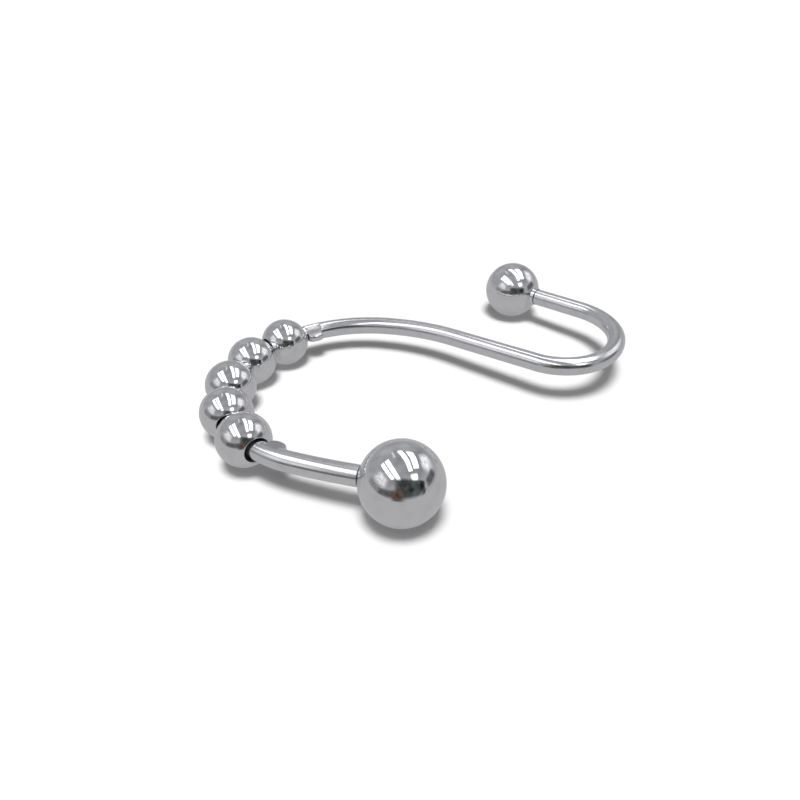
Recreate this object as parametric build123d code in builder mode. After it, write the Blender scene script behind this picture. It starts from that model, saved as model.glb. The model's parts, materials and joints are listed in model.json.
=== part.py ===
from build123d import *
from math import atan, cos, degrees, radians, sin, sqrt
import os

# Roller shower curtain hook: one bent round wire with a ball on each end. Drilled balls roll on
# its rod seat, kept in place by two ears pressed out of the wire. The hook is drawn flat, with
# its rod seat centred on the drawing's origin and +X towards the curtain bend. Then it is laid
# down as it rests on a table: on both end balls and on the lowest roller.
# Lengths are in millimetres and angles in degrees.

# Wire
wire_diameter = 3.0
seat_radius = 20.0
seat_front_angle = 227.4
seat_arc_angle = 167.0
front_radius = 113.0
front_arc_angle = 5.1
shoulder_radius = 32.0
shoulder_angle = 26.6
shank_length = 16.1
lower_bend_radius = 9.2
lower_bend_angle = 75.7
upper_bend_radius = 11.8
upper_bend_angle = 98.2
arm_length = 9.9

# Balls on the wire's ends
large_ball_diameter = 11.5
small_ball_diameter = 10.5
socket_depth = 4.0
neck_length = 0.45
neck_height = 0.12

# Rollers
roller_count = 5
roller_diameter = 8.0
bore_clearance = 0.35
mouth_rounding = 0.12
roller_gap = 0.05
roller_middle_angle = 156.0

# Ears that stop the rollers
ear_length = 3.0
ear_height = 1.25
ear_thickness = 1.8
ear_corner = 1.2
ear_edge_rounding = 0.6
ear_gap = 0.2

wire_radius = wire_diameter / 2
large_ball_radius = large_ball_diameter / 2
small_ball_radius = small_ball_diameter / 2
roller_radius = roller_diameter / 2
bore_radius = wire_radius + bore_clearance

# A straight bore holds a curved wire evenly when the roller sits half the wire's rise inwards.
mouth_distance = sqrt(roller_radius**2 - bore_radius**2)
wire_rise = seat_radius - sqrt(seat_radius**2 - mouth_distance**2)
track_radius = seat_radius - wire_rise / 2
rim_radius = track_radius - bore_radius
roller_half_angle = degrees(atan(mouth_distance / rim_radius))
roller_step_angle = 2 * roller_half_angle + degrees(roller_gap / rim_radius)
first_roller_angle = roller_middle_angle + roller_step_angle * (roller_count - 1) / 2
roller_angles = [first_roller_angle - roller_step_angle * index for index in range(roller_count)]

# The wire's centre line, from the bottom of one ball's socket to the bottom of the other's.
with BuildLine() as centre_line:
    seat = CenterArc((0, 0), seat_radius, seat_front_angle, -seat_arc_angle)
    front = JernArc(seat @ 0, seat % 0 * -1, front_radius, front_arc_angle)
    large_end = Line(front @ 1, front @ 1 + front % 1 * socket_depth)
    shoulder = JernArc(seat @ 1, seat % 1, shoulder_radius, -shoulder_angle)
    shank = Line(shoulder @ 1, shoulder @ 1 + shoulder % 1 * shank_length)
    lower_bend = JernArc(shank @ 1, shank % 1, lower_bend_radius, lower_bend_angle)
    upper_bend = JernArc(lower_bend @ 1, lower_bend % 1, upper_bend_radius, upper_bend_angle)
    arm = Line(upper_bend @ 1, upper_bend @ 1 + upper_bend % 1 * arm_length)
    small_end = Line(arm @ 1, arm @ 1 + arm % 1 * socket_depth)

large_ball_centre = front @ 1 + front % 1 * large_ball_radius
small_ball_centre = arm @ 1 + arm % 1 * small_ball_radius
large_ball_plane = Plane(large_ball_centre, z_dir=front % 1 * -1)
small_ball_plane = Plane(small_ball_centre, z_dir=arm % 1 * -1)


def roller_plane(angle):
    """Plane of the roller at this angle round the rod seat, with Z along its bore."""
    outward = Vector(cos(radians(angle)), sin(radians(angle)))
    return Plane(outward * track_radius, x_dir=(0, 0, 1), z_dir=outward.rotate(Axis.Z, 90))


def ear_outline(roller_angle, side):
    """Flat outline of the ear beside a roller; side is +1 towards the large ball, else -1."""
    near_angle = roller_angle + side * (roller_half_angle + degrees(ear_gap / rim_radius))
    span = side * degrees(ear_length / seat_radius)
    with BuildSketch() as outline:
        with BuildLine():
            root = CenterArc((0, 0), seat_radius, near_angle, span)
            crest = CenterArc((0, 0), seat_radius - wire_radius - ear_height, near_angle, span)
            Line(root @ 0, crest @ 0)
            Line(root @ 1, crest @ 1)
        make_face()
        fillet(outline.vertices().sort_by_distance((0, 0, 0))[:2], ear_corner)
    return outline.sketch


with BuildPart() as hook_wire:
    with BuildSketch(Plane(large_end @ 1, z_dir=large_end % 1 * -1)):
        Circle(wire_radius)
    sweep(path=centre_line.wire())
    for roller_angle, side in ((roller_angles[0], 1), (roller_angles[-1], -1)):
        with BuildSketch():
            add(ear_outline(roller_angle, side))
        extrude(amount=ear_thickness / 2, both=True)
    for ear_face in hook_wire.faces().filter_by(Axis.Z):
        fillet(ear_face.edges().sort_by_distance((0, 0, 0))[:-1], ear_edge_rounding)

with BuildPart(large_ball_plane) as large_ball:
    Sphere(large_ball_radius)
    with BuildSketch(large_ball_plane.offset(large_ball_radius - socket_depth)):
        Circle(wire_radius)
    extrude(amount=socket_depth, mode=Mode.SUBTRACT)

with BuildPart(small_ball_plane) as small_ball:
    Sphere(small_ball_radius)
    with BuildSketch(small_ball_plane):
        Circle(wire_radius + neck_height)
    extrude(amount=small_ball_radius + neck_length)
    with BuildSketch(small_ball_plane.offset(small_ball_radius - socket_depth)):
        Circle(wire_radius)
    extrude(amount=socket_depth + neck_length, mode=Mode.SUBTRACT)

rollers = []
for roller_angle in roller_angles:
    with BuildPart(roller_plane(roller_angle)) as roller:
        Sphere(roller_radius)
        Hole(bore_radius)
        bore = roller.faces().filter_by(GeomType.CYLINDER)
        fillet(bore.edges().filter_by(GeomType.CIRCLE), mouth_rounding)
    rollers.append(roller)

# At rest the drawing's plane follows both balls' radii along the line between them, and leans
# across that line until the first roller meets the table.
ball_line = small_ball_centre - large_ball_centre
along = ball_line.normalized()
across = along.rotate(Axis.Z, 90)
rise = (small_ball_radius - large_ball_radius) / ball_line.length
leans = []
for roller_angle in roller_angles:
    offset = roller_plane(roller_angle).origin - large_ball_centre
    free_height = large_ball_radius + rise * offset.dot(along) - roller_radius
    leans.append(free_height / offset.dot(across))
slope = along * rise - across * min(leans)
slope_cosine = sqrt(1 - slope.X**2)
up = sqrt(1 - slope.X**2 - slope.Y**2)
table_plane = Plane(
    origin=(0, 0, large_ball_radius - slope.dot(large_ball_centre)),
    x_dir=(slope_cosine, 0, slope.X),
    z_dir=(-slope.X * up / slope_cosine, -slope.Y / slope_cosine, up),
)

# The frame's origin is under the middle of the hook, on the table.
pieces = {"hook_wire": hook_wire, "large_ball": large_ball, "small_ball": small_ball}
for number, roller in enumerate(rollers, 1):
    pieces[f"roller_{number}"] = roller
lying = Compound([piece.part for piece in pieces.values()]).moved(table_plane.location)
middle = lying.bounding_box().center()
at_rest = Pos(-middle.X, -middle.Y) * table_plane.location

os.makedirs("parts", exist_ok=True)
for name, piece in pieces.items():
    piece.part.locate(at_rest)
    piece.part.label = name
    export_step(piece.part, f"parts/{name}.step")
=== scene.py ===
"""Looks of the roller shower curtain hook: drawn wire, five drilled balls and two end balls.

Every length is in metres. The hook is laid out flat, with its rod seat centred on the drawing's
origin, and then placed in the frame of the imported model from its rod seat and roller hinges.
"""

import json
import logging
import math
from dataclasses import dataclass, field, replace
from enum import Enum
from typing import Any, Sequence

import bmesh
import bpy
from mathutils import Matrix, Vector


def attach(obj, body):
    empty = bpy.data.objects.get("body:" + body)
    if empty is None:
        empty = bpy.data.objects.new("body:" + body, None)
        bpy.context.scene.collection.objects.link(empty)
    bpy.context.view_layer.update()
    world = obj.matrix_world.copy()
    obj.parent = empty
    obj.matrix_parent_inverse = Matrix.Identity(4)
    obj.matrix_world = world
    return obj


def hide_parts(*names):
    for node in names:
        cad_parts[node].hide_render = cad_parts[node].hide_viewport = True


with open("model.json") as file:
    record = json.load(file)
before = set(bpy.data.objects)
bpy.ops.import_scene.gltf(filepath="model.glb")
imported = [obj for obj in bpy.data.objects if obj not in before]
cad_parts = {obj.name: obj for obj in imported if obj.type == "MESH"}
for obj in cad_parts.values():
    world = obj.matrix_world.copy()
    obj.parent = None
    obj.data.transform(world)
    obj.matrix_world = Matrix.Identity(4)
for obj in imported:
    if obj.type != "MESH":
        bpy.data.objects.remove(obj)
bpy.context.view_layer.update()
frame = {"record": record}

MM = 0.001
NEARLY_ZERO = 1e-6
LOG = logging.getLogger("curtain_hook")

Inputs = dict[str | int, Any]
Point2 = tuple[float, float]
Point3 = tuple[float, float, float]
Colour = tuple[float, float, float]
Value = Any


def added(name: str, data: bpy.types.ID) -> bpy.types.Object:
    """Makes an object and adds it to the scene.

    Args:
        name: The object's name.
        data: Its mesh, curve, light or camera.

    Returns:
        The object.
    """
    made = bpy.data.objects.new(name, data)
    bpy.context.scene.collection.objects.link(made)
    return made


class Lay(Enum):
    """Which way the fine lines of a polished surface run."""

    DRAWN = "along the wire, from the drawing die"
    BUFFED = "every way, from the polishing drum"


@dataclass(frozen=True)
class Signal:
    """What comes out of a node. A formula of signals becomes Math nodes.

    Attributes:
        trees: The tree that it runs in.
        socket: The socket that it comes from.
    """

    trees: "Trees"
    socket: bpy.types.NodeSocket

    def __add__(self, other: Value) -> "Signal":
        """Both numbers added."""
        return self.trees.math("ADD", self, other)

    def __sub__(self, other: Value) -> "Signal":
        """This number less the other one."""
        return self.trees.math("SUBTRACT", self, other)

    def __rsub__(self, other: Value) -> "Signal":
        """The other number less this one."""
        return self.trees.math("SUBTRACT", other, self)

    def __mul__(self, other: Value) -> "Signal":
        """Both numbers multiplied."""
        return self.trees.math("MULTIPLY", self, other)

    def __truediv__(self, other: Value) -> "Signal":
        """This number divided by the other one."""
        return self.trees.math("DIVIDE", self, other)

    def __rtruediv__(self, other: Value) -> "Signal":
        """The other number divided by this one."""
        return self.trees.math("DIVIDE", other, self)

    def __pow__(self, power: Value) -> "Signal":
        """This number raised to a power."""
        return self.trees.math("POWER", self, power)

    def __abs__(self) -> "Signal":
        """This number without its sign."""
        return self.trees.math("ABSOLUTE", self)

    def at_least(self, other: Value) -> "Signal":
        """The larger one of both numbers."""
        return self.trees.math("MAXIMUM", self, other)

    def at_most(self, other: Value) -> "Signal":
        """The smaller one of both numbers."""
        return self.trees.math("MINIMUM", self, other)

    def above(self, other: Value) -> "Signal":
        """1 where this number is the larger one, otherwise 0."""
        return self.trees.math("GREATER_THAN", self, other)

    def below(self, other: Value) -> "Signal":
        """1 where this number is the smaller one, otherwise 0."""
        return self.trees.math("LESS_THAN", self, other)

    def clamped(self) -> "Signal":
        """This number, kept from 0 to 1."""
        return self.at_least(0.0).at_most(1.0)


class Trees:
    """Adds nodes to one node tree and joins their sockets."""

    def __init__(self, tree: bpy.types.NodeTree) -> None:
        """Keeps the tree that the nodes go into.

        Args:
            tree: A shader, geometry or group tree.
        """
        self.tree = tree

    @classmethod
    def of(cls, owner: bpy.types.Material | bpy.types.World) -> "Trees":
        """Starts the tree of a material or world afresh.

        Args:
            owner: The material or world.

        Returns:
            Its tree, without nodes.
        """
        owner.use_nodes = True
        owner.node_tree.nodes.clear()
        return cls(owner.node_tree)

    def feed(self, socket: bpy.types.NodeSocket, value: Value) -> None:
        """Leads a signal to a socket, or sets its constant.

        Args:
            socket: The input that is fed.
            value: A signal, or a constant of the input's kind.
        """
        if isinstance(value, Signal):
            self.tree.links.new(value.socket, socket)
        else:
            socket.default_value = value

    def node(self, kind: str, inputs: Inputs | None = None, **settings: Value) -> bpy.types.Node:
        """Adds one node.

        Args:
            kind: The node's type name.
            inputs: What feeds its inputs, by name or number.
            **settings: The node's own properties.

        Returns:
            The new node.
        """
        made = self.tree.nodes.new(kind)
        for name, value in settings.items():
            setattr(made, name, value)
        for name, value in (inputs or {}).items():
            self.feed(made.inputs[name], value)
        return made

    def out(
        self, kind: str, inputs: Inputs | None = None, output: str | int = 0, **settings: Value,
    ) -> Signal:
        """Adds one node of which only one output is used.

        Args:
            kind: The node's type name.
            inputs: What feeds its inputs, by name or number.
            output: The output's name or number.
            **settings: The node's own properties.

        Returns:
            That output.
        """
        return Signal(self, self.node(kind, inputs, **settings).outputs[output])

    def math(self, operation: str, *values: Value) -> Signal:
        """The result of a Math node with these inputs."""
        return self.out("ShaderNodeMath", dict(enumerate(values)), operation=operation)

    def vector(self, operation: str, *values: Value) -> Signal:
        """The vector from a Vector Math node with these inputs."""
        return self.out("ShaderNodeVectorMath", dict(enumerate(values)), operation=operation)

    def scaled(self, vector: Value, scale: Value) -> Signal:
        """A vector times a number."""
        return self.out("ShaderNodeVectorMath", {0: vector, "Scale": scale}, operation="SCALE")

    def dot(self, first: Value, second: Value) -> Signal:
        """The dot product of two vectors."""
        return self.out("ShaderNodeVectorMath", {0: first, 1: second}, "Value", operation="DOT_PRODUCT")

    def noise(
        self, place: Value, scale: Value, detail: float, roughness: float = 0.5, distortion: float = 0.0,
    ) -> Signal:
        """Adds a noise pattern.

        Args:
            place: The coordinates that it follows.
            scale: How many of its patches fit in one unit of length.
            detail: How many finer layers it has.
            roughness: How strong the finer layers are.
            distortion: How far the patches are twisted.

        Returns:
            The pattern, about 0.5 on average.
        """
        return self.out("ShaderNodeTexNoise", {
            "Vector": place,
            "Scale": scale,
            "Detail": detail,
            "Roughness": roughness,
            "Distortion": distortion,
        })

    def spread(
        self,
        value: Value,
        source: tuple[Value, Value],
        target: tuple[Value, Value] = (0.0, 1.0),
        smooth: bool = False,
    ) -> Signal:
        """Maps one range of numbers onto another, with no result beyond its ends.

        Args:
            value: The number.
            source: The range that it comes from.
            target: The range that it goes to.
            smooth: Whether it eases in and out.

        Returns:
            The mapped number.
        """
        return self.out("ShaderNodeMapRange", {
            "Value": value,
            "From Min": source[0],
            "From Max": source[1],
            "To Min": target[0],
            "To Max": target[1],
        }, interpolation_type="SMOOTHSTEP" if smooth else "LINEAR")

    def blend(self, share: Value, first: Value, second: Value) -> Signal:
        """The first colour, with a share of the second one mixed in."""
        return self.out("ShaderNodeMix", {"Factor": share, 6: first, 7: second}, 2, data_type="RGBA")

    def shade(self, share: Value, first: Signal, second: Signal) -> Signal:
        """The first shader, with a share of the second one mixed in."""
        return self.out("ShaderNodeMixShader", {"Fac": share, 1: first, 2: second})

    def store(self, geometry: Signal, name: str, value: Signal, kind: str = "FLOAT") -> Signal:
        """Stores a value at every point, for the materials to read.

        Args:
            geometry: What it is stored on.
            name: The attribute's name.
            value: The value.
            kind: The attribute's data type.

        Returns:
            The geometry with the attribute.
        """
        inputs = {"Geometry": geometry, "Name": name, "Value": value}
        return self.out("GeometryNodeStoreNamedAttribute", inputs, data_type=kind, domain="POINT")

    def take(self, inputs: dict[str, str]) -> dict[str, Signal]:
        """Gives a group tree its named inputs.

        Args:
            inputs: Each input's kind, by name.

        Returns:
            What comes in, by name.
        """
        for name, kind in inputs.items():
            self.tree.interface.new_socket(name, in_out="INPUT", socket_type=f"NodeSocket{kind}")
        entry = self.node("NodeGroupInput")
        return {name: Signal(self, entry.outputs[name]) for name in inputs}

    def give(self, name: str, kind: str, value: Signal) -> bpy.types.NodeTree:
        """Gives a group tree its named output.

        Args:
            name: The output's name.
            kind: Its kind.
            value: What goes out.

        Returns:
            The finished tree.
        """
        self.tree.interface.new_socket(name, in_out="OUTPUT", socket_type=f"NodeSocket{kind}")
        self.node("NodeGroupOutput", {name: value})
        return self.tree


@dataclass
class BendPath:
    """The centre line of a bent wire, walked from one end to the other in its own plane.

    Attributes:
        heading: Direction of travel in radians, anticlockwise from +X.
        here: The point reached so far.
        length: The distance walked so far.
        points: The points passed, the first one included.
    """

    heading: float
    here: Vector = field(default_factory=lambda: Vector((0.0, 0.0)))
    length: float = 0.0
    points: list[Vector] = field(default_factory=list)

    def __post_init__(self) -> None:
        """Starts the line at its first point."""
        self.points.append(self.here.copy())

    @property
    def ahead(self) -> Vector:
        """Unit vector along the direction of travel."""
        return Vector((math.cos(self.heading), math.sin(self.heading)))

    @property
    def left(self) -> Vector:
        """Unit vector to the left of the direction of travel."""
        return Vector((-math.sin(self.heading), math.cos(self.heading)))

    def run(self, distance: float, spacing: float) -> None:
        """Walks straight on.

        Args:
            distance: Length of the run.
            spacing: About how far apart its points are.
        """
        steps = max(1, round(distance / spacing))
        start = self.here.copy()
        for step in range(1, steps + 1):
            self.points.append(start + self.ahead * (distance * step / steps))
        self.here = self.points[-1].copy()
        self.length += distance

    def bend(self, radius: float, turn: float, spacing: float) -> None:
        """Walks round an arc.

        Args:
            radius: The arc's radius.
            turn: How far it turns in radians, positive to the left.
            spacing: About how far apart its points are.
        """
        steps = max(1, round(radius * abs(turn) / spacing))
        side = math.copysign(1.0, turn)
        centre = self.here + self.left * (side * radius)
        spoke = self.here - centre
        for step in range(1, steps + 1):
            angle = turn * step / steps
            turned = Vector((
                spoke.x * math.cos(angle) - spoke.y * math.sin(angle),
                spoke.x * math.sin(angle) + spoke.y * math.cos(angle),
            ))
            self.points.append(centre + turned)
        self.here = self.points[-1].copy()
        self.heading += turn
        self.length += radius * abs(turn)


@dataclass
class TurnedOutline:
    """Half the outline of a turned piece: x is the distance from its axis, y the place along it.

    Attributes:
        points: The outline's points, in order.
    """

    points: list[Point2] = field(default_factory=list)

    def to(self, x: float, y: float) -> None:
        """Goes straight to a point.

        Args:
            x: Distance from the axis.
            y: Place along the axis.
        """
        self.points.append((x, y))

    def arc(self, centre: Point2, radius: float, start: float, end: float, steps: int) -> None:
        """Follows an arc, its first point included.

        Args:
            centre: The arc's centre.
            radius: The arc's radius.
            start: Its first angle in radians, anticlockwise from the outward direction.
            end: Its last angle.
            steps: How many stretches it is divided into.
        """
        for step in range(steps + 1):
            angle = start + (end - start) * step / steps
            self.to(centre[0] + radius * math.cos(angle), centre[1] + radius * math.sin(angle))

    def corner(self, start: Point2, corner: Point2, end: Point2, steps: int) -> None:
        """Rounds a corner with one smooth curve, its ends included.

        Args:
            start: Where the curve begins.
            corner: The sharp corner that it rounds.
            end: Where the curve ends.
            steps: How many stretches it is divided into.
        """
        for step in range(steps + 1):
            t = step / steps
            weights = ((1 - t) ** 2, 2 * t * (1 - t), t**2)
            self.to(
                sum(w * p[0] for w, p in zip(weights, (start, corner, end))),
                sum(w * p[1] for w, p in zip(weights, (start, corner, end))),
            )


@dataclass(frozen=True)
class Placing:
    """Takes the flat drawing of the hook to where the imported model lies.

    Attributes:
        record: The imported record.
        middle_angle: Angle of the middle roller round the rod seat, in radians.
    """

    record: dict[str, Any]
    middle_angle: float = math.radians(156.0)

    @property
    def seat(self) -> dict[str, Any]:
        """The rod seat's mount."""
        return next(mount for mount in self.record["mounts"] if mount["name"] == "rod_seat")

    @property
    def hinges(self) -> list[dict[str, Any]]:
        """The rollers' hinges, in order round the seat."""
        return self.record["behaviour"]["joints"]

    @property
    def matrix(self) -> Matrix:
        """The way from the drawing to the frame.

        Returns:
            The drawing's axes and origin in the frame.
        """
        origin = Vector(self.seat["pos_m"])
        upward = Vector(self.seat["axis"]).normalized()
        middle = self.hinges[len(self.hinges) // 2]
        outward = Vector(middle["pos_m"]) - origin
        outward = (outward - upward * outward.dot(upward)).normalized()
        rightward = Matrix.Rotation(-self.middle_angle, 3, upward) @ outward
        axes = Matrix((rightward, upward.cross(rightward), upward)).transposed()
        return Matrix.Translation(origin) @ axes.to_4x4()

    def roller_angle(self, index: int) -> float:
        """Angle of one roller round the rod seat.

        Args:
            index: The roller's number, from 0.

        Returns:
            The angle in radians, anticlockwise from the drawing's +X.
        """
        place = self.matrix.inverted() @ Vector(self.hinges[index]["pos_m"])
        return math.atan2(place.y, place.x) % (2 * math.pi)

    def track_radius(self) -> float:
        """Distance of the rollers' centres from the rod seat's centre."""
        return (Vector(self.hinges[0]["pos_m"]) - Vector(self.seat["pos_m"])).length


@dataclass
class SurfaceEffects:
    """The surface effects that more than one finish uses, each built once as a shader group.

    Attributes:
        thinning: Range of its noise over which the plating goes from full to thin.
        smudging: Range of its noise over which a clean mirror goes over into a smudge.
        scratching: Range of its noise over which a hairline goes from no depth to its full one.
        tone: Colour of the plating.
        haze: Roughness of the smudged mirror.
        ripple: Height of the plating's ripple.
        hairlines: Height of the hairline scratches.
    """

    thinning: Point2 = (0.48, 0.78)
    smudging: Point2 = (0.46, 0.74)
    scratching: Point2 = (0.6, 0.72)
    tone: bpy.types.NodeTree = field(init=False)
    haze: bpy.types.NodeTree = field(init=False)
    ripple: bpy.types.NodeTree = field(init=False)
    hairlines: bpy.types.NodeTree = field(init=False)

    def __post_init__(self) -> None:
        """Builds every effect."""
        self.tone = self._tone()
        self.haze = self._haze()
        self.ripple = self._ripple()
        self.hairlines = self._hairlines()

    @staticmethod
    def _group(name: str) -> Trees:
        """Starts an empty shader group under this name."""
        return Trees(bpy.data.node_groups.new(name, "ShaderNodeTree"))

    def _tone(self) -> bpy.types.NodeTree:
        """Colour that drifts a little between the bright plating and thinner, greyer plating.

        Returns:
            The group's tree.
        """
        trees = self._group("plating_tone")
        given = trees.take({
            "Coordinates": "Vector", "Bright": "Color", "Thin": "Color", "Patch Size": "Float",
        })
        patches = trees.noise(given["Coordinates"], 1.0 / given["Patch Size"], detail=4.0, roughness=0.55)
        thinned = trees.spread(patches, self.thinning)
        return trees.give("Color", "Color", trees.blend(thinned, given["Bright"], given["Thin"]))

    def _haze(self) -> bpy.types.NodeTree:
        """Roughness of a polished surface with a few hazy smudges left by handling.

        Returns:
            The group's tree.
        """
        trees = self._group("handling_haze")
        given = trees.take({
            "Coordinates": "Vector", "Clean": "Float", "Hazy": "Float", "Smudge Size": "Float",
        })
        per_smudge = 1.0 / given["Smudge Size"]
        smudges = trees.noise(given["Coordinates"], per_smudge, detail=3.0, roughness=0.6, distortion=0.8)
        roughness = trees.spread(smudges, self.smudging, (given["Clean"], given["Hazy"]), smooth=True)
        return trees.give("Roughness", "Float", roughness)

    def _ripple(self) -> bpy.types.NodeTree:
        """Height of the slow ripple that plating leaves, which makes mirrored lines waver.

        Returns:
            The group's tree.
        """
        trees = self._group("plating_ripple")
        given = trees.take({"Coordinates": "Vector", "Ripple Size": "Float", "Rise": "Float"})
        waves = trees.noise(given["Coordinates"], 1.0 / given["Ripple Size"], detail=1.0, roughness=0.4)
        return trees.give("Height", "Float", waves * given["Rise"])

    def _hairlines(self) -> bpy.types.NodeTree:
        """Height of sparse hairline scratches, drawn out along the first coordinate.

        Returns:
            The group's tree.
        """
        trees = self._group("hairline_scratches")
        given = trees.take({
            "Coordinates": "Vector", "Line Width": "Float", "Line Length": "Float", "Depth": "Float",
        })
        per_width = 1.0 / given["Line Width"]
        stretch = trees.out("ShaderNodeCombineXYZ", {
            "X": 1.0 / given["Line Length"], "Y": per_width, "Z": per_width,
        })
        grain = trees.noise(trees.vector("MULTIPLY", given["Coordinates"], stretch), 1.0, detail=2.0)
        grooves = trees.spread(grain, self.scratching, (0.0, -1.0))
        return trees.give("Height", "Float", grooves * given["Depth"])


@dataclass(frozen=True)
class PlatedFinish:
    """Polished steel with bright plating.

    Attributes:
        name: The material's name.
        lay: Which way its fine lines run.
        bright: Colour of the full plating.
        thin: Colour where the plating is thinner.
        patch_size: Size of the patches of either kind.
        clean: Roughness of the clean mirror.
        hazy: Roughness of its smudges.
        smudge_size: Size of the smudges.
        ripple_size: Size of the plating's ripple.
        ripple_rise: Height of the ripple.
        line_width: Width of the hairlines.
        line_length: Length of the hairlines.
        line_depth: Depth of the hairlines.
        swirl_size: Size of the swirls that buffed lines follow.
        swirl_reach: How far the swirls carry those lines.
        pressed: Colour where the die has dulled the plating.
        pressed_roughness: Roughness there.
        painted_shade: Colour painted into the slits and bores as painted shade, for the shade that falls in
            them.
        painted_shade_roughness: Roughness where that shade is painted.
    """

    name: str
    lay: Lay
    bright: Colour
    thin: Colour
    clean: float
    hazy: float
    smudge_size: float
    ripple_size: float
    ripple_rise: float
    line_width: float
    line_length: float
    line_depth: float
    patch_size: float = 2 * MM
    swirl_size: float = 5 * MM
    swirl_reach: float = 6 * MM
    pressed: Colour = (0.50, 0.50, 0.52)
    pressed_roughness: float = 0.38
    # Painted shade: a near-black colour laid into slits and bores, where shade falls.
    painted_shade: Colour = (0.03, 0.03, 0.035)
    painted_shade_roughness: float = 0.6

    def _coordinates(self, trees: Trees, place: Signal) -> Signal:
        """The coordinates that the fine lines follow.

        Args:
            trees: The material's tree.
            place: The object's coordinates.

        Returns:
            A vector in metres, with the lines along its first axis.
        """
        if self.lay is Lay.DRAWN:
            return trees.out("ShaderNodeAttribute", output="Vector", attribute_name="wire_lay")
        swirls = trees.out("ShaderNodeTexNoise", {
            "Vector": place, "Scale": 1 / self.swirl_size, "Detail": 1.0,
        }, "Color")
        return trees.vector("ADD", place, trees.scaled(swirls, self.swirl_reach))

    def material(self, effects: SurfaceEffects) -> bpy.types.Material:
        """Builds the material.

        Args:
            effects: The shared surface effects.

        Returns:
            The finished material.
        """
        made = bpy.data.materials.new(self.name)
        trees = Trees.of(made)
        place = trees.out("ShaderNodeTexCoord", output="Object")
        colour = trees.out("ShaderNodeGroup", {
            "Coordinates": place,
            "Bright": (*self.bright, 1.0),
            "Thin": (*self.thin, 1.0),
            "Patch Size": self.patch_size,
        }, node_tree=effects.tone)
        roughness = trees.out("ShaderNodeGroup", {
            "Coordinates": place, "Clean": self.clean, "Hazy": self.hazy, "Smudge Size": self.smudge_size,
        }, node_tree=effects.haze)
        ripple = trees.out("ShaderNodeGroup", {
            "Coordinates": place, "Ripple Size": self.ripple_size, "Rise": self.ripple_rise,
        }, node_tree=effects.ripple)
        hairlines = trees.out("ShaderNodeGroup", {
            "Coordinates": self._coordinates(trees, place),
            "Line Width": self.line_width,
            "Line Length": self.line_length,
            "Depth": self.line_depth,
        }, node_tree=effects.hairlines)
        bump = {"Height": ripple + hairlines, "Strength": 1.0, "Distance": 1.0}
        # Die marks dull the pressed plating. The second mark is painted shade: a dark colour laid into
        # slits and bores, where shade falls.
        marks = {
            "die_mark": (self.pressed, self.pressed_roughness),
            "recess_painted_shade": (self.painted_shade, self.painted_shade_roughness),
        }
        for mark, (dulling_and_shade, dulling_and_shade_roughness) in marks.items():
            share = trees.out("ShaderNodeAttribute", output="Fac", attribute_name=mark)
            colour = trees.blend(share, colour, (*dulling_and_shade, 1.0))
            roughness = roughness.at_least(share * dulling_and_shade_roughness)
        metal = trees.out("ShaderNodeBsdfPrincipled", {
            "Base Color": colour,
            "Metallic": 1.0,
            "Roughness": roughness,
            "Normal": trees.out("ShaderNodeBump", bump),
        })
        trees.node("ShaderNodeOutputMaterial", {"Surface": metal})
        return made


WIRE_FINISH = PlatedFinish(
    name="bright_drawn_wire", lay=Lay.DRAWN, bright=(0.78, 0.78, 0.81), thin=(0.70, 0.70, 0.73),
    clean=0.16, hazy=0.24, smudge_size=4 * MM, ripple_size=1.6 * MM, ripple_rise=0.0012 * MM,
    line_width=0.06 * MM, line_length=7 * MM, line_depth=0.0006 * MM,
)
LARGE_BALL_FINISH = PlatedFinish(
    name="mirror_end_ball", lay=Lay.BUFFED, bright=(0.79, 0.79, 0.82), thin=(0.72, 0.72, 0.75),
    clean=0.045, hazy=0.11, smudge_size=3.5 * MM, ripple_size=2.4 * MM, ripple_rise=0.0012 * MM,
    line_width=0.05 * MM, line_length=3 * MM, line_depth=0.00025 * MM,
)
SMALL_BALL_FINISH = replace(LARGE_BALL_FINISH, name="hazy_end_ball", clean=0.10, hazy=0.15)
# The rollers' bores get a grey painted shade on their walls, where shade falls.
ROLLER_FINISH = PlatedFinish(
    name="mirror_roller", lay=Lay.BUFFED, bright=(0.79, 0.79, 0.82), thin=(0.70, 0.70, 0.73),
    clean=0.04, hazy=0.13, smudge_size=2.5 * MM, ripple_size=1.8 * MM, ripple_rise=0.0015 * MM,
    line_width=0.05 * MM, line_length=2.5 * MM, line_depth=0.0004 * MM, painted_shade=(0.35, 0.35, 0.36),
)


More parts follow.
